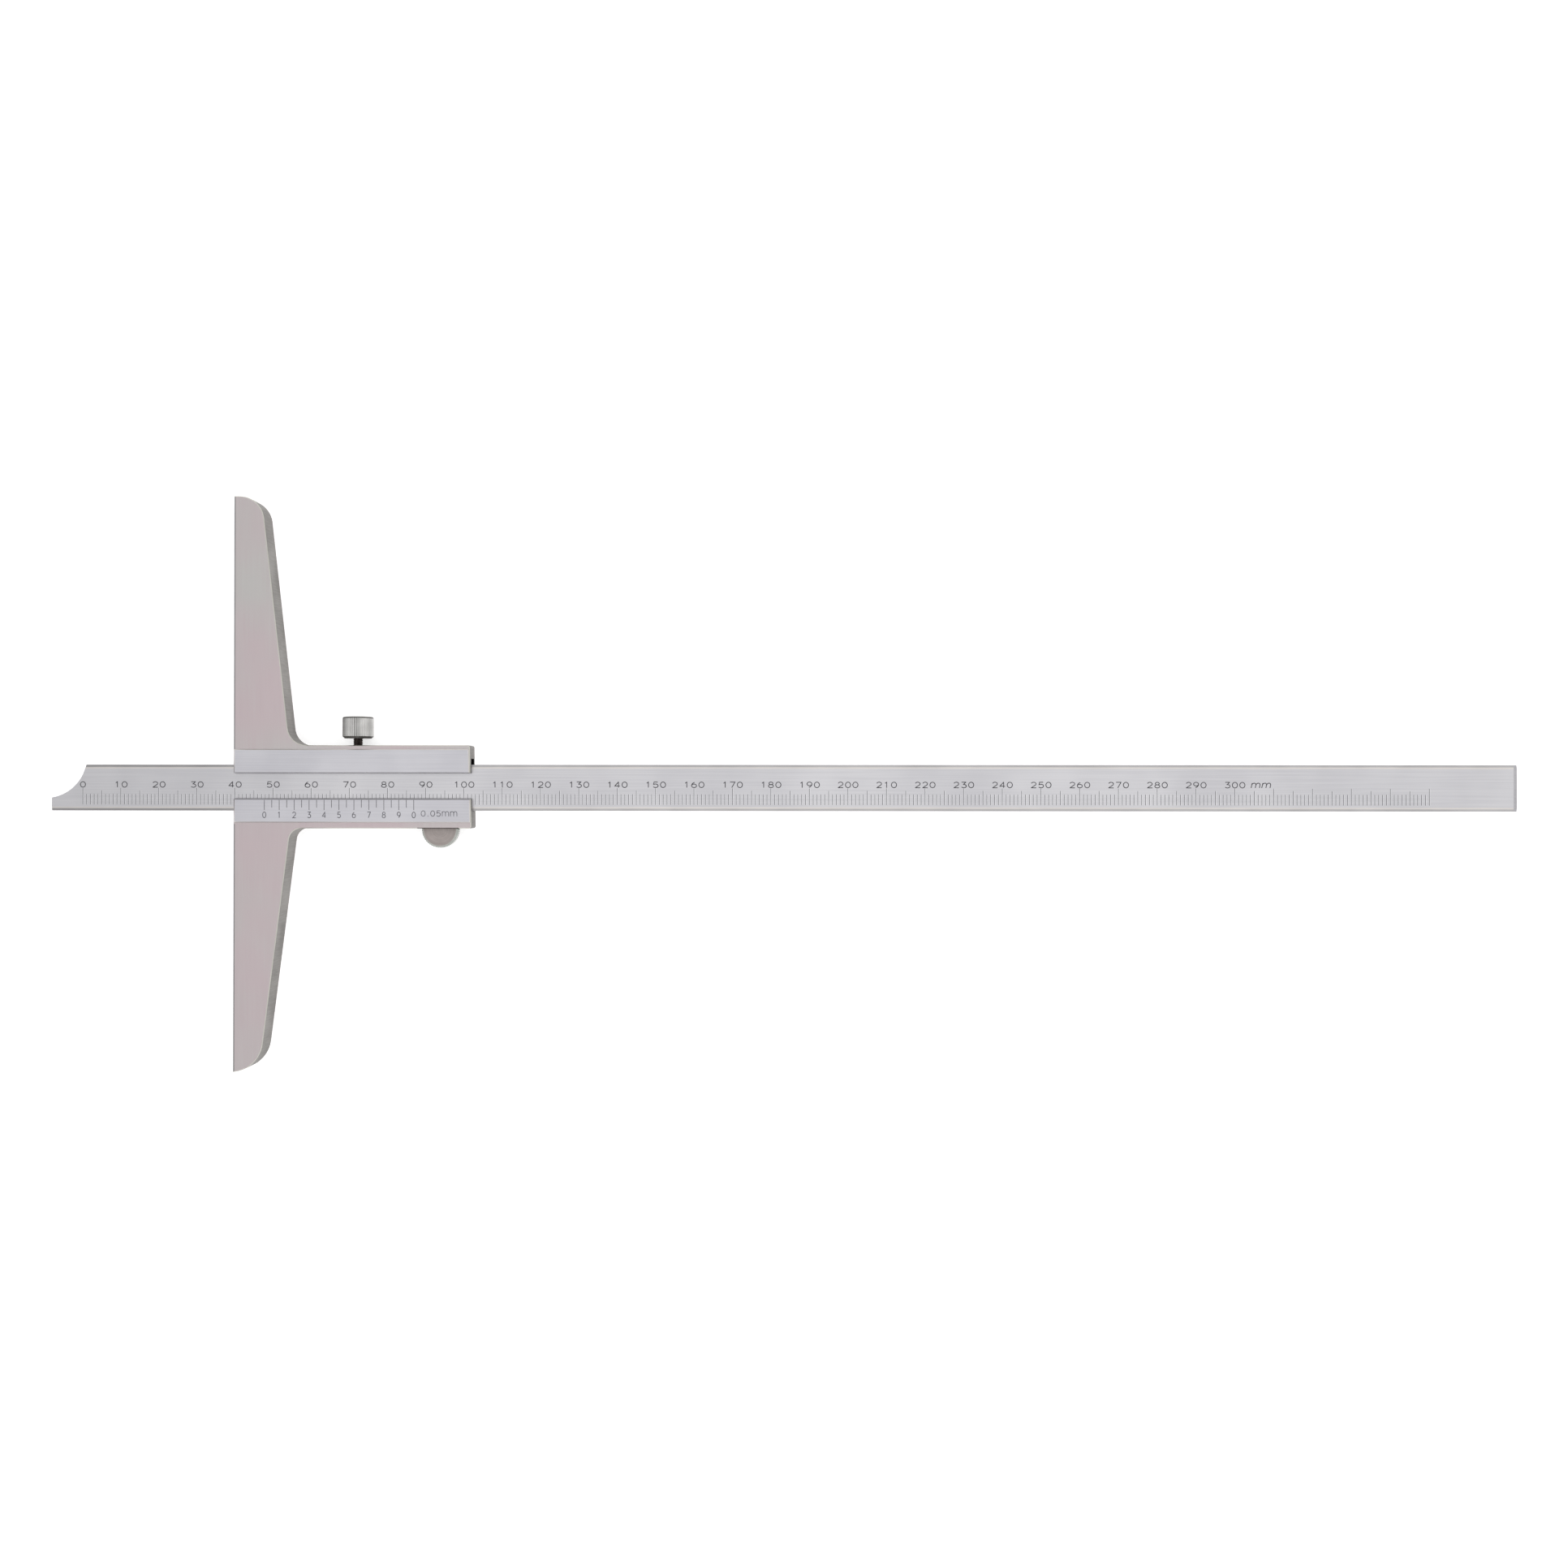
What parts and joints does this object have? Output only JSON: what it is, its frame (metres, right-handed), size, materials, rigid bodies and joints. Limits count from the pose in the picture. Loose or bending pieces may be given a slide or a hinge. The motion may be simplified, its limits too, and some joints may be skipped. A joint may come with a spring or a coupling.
{
  "type": "depth gauge",
  "caption": "Vernier depth gauge: a ruled beam with a small measuring tip slides through a long straight bridge, moved by a thumb wheel and locked by a knurled clamp screw.",
  "frame": {"origin": "on the bridge's measuring face, where the beam's centre line crosses it, at the level of the back face", "axes": "+X along the beam away from its measuring tip, +Y along the bridge towards the clamp screw, +Z out of the ruled front"},
  "size_m": [0.3806, 0.15, 0.008],
  "materials": {
    "ruled_steel": "satin",
    "ground_steel": "ground",
    "bright_steel": "turned",
    "wheel_steel": "knurled",
    "black_steel": "blackened",
    "spring_steel": "tempered",
    "bronze": "plain"
  },
  "bodies": {
    "base": {"base_slider": "ground_steel", "gib_strip": "bronze", "gib_screw_front": "black_steel", "gib_screw_rear": "black_steel", "roller_axle": "spring_steel", "roller_spring": "spring_steel", "spring_screw_inner": "black_steel", "spring_screw_outer": "black_steel"},
    "beam": {"beam": "ruled_steel"},
    "roller": {"thumb_roller": "wheel_steel"},
    "clamp_pad": {"clamp_pad": "bronze"},
    "clamp_screw": {"clamp_stud": "black_steel", "clamp_head": "bright_steel"}
  },
  "joints": [
    {"name": "beam_slide", "type": "slide", "parent": "base", "child": "beam", "axis": [-1, 0, 0], "range_m": [-0.0483, 0.2517]},
    {"name": "roller_turn", "type": "hinge", "parent": "base", "child": "roller", "pos_m": [0.0534, -0.0109, 0.00365], "axis": [0, 0, 1], "range_deg": [-577, 3005]},
    {"name": "clamp_feed", "type": "slide", "parent": "base", "child": "clamp_pad", "axis": [0, 1, 0], "range_m": [-0.000075, 0.0009]},
    {"name": "clamp_turn", "type": "hinge", "parent": "clamp_pad", "child": "clamp_screw", "pos_m": [0.03166, 0.0129, 0.00405], "axis": [0, 1, 0], "range_deg": [-60.1, 720.1]}
  ],
  "couplings": [
    {"joint": "roller_turn", "follows": "beam_slide", "rad_per_m": 208.33},
    {"joint": "clamp_turn", "follows": "clamp_feed", "rad_per_m": 13963}
  ]
}
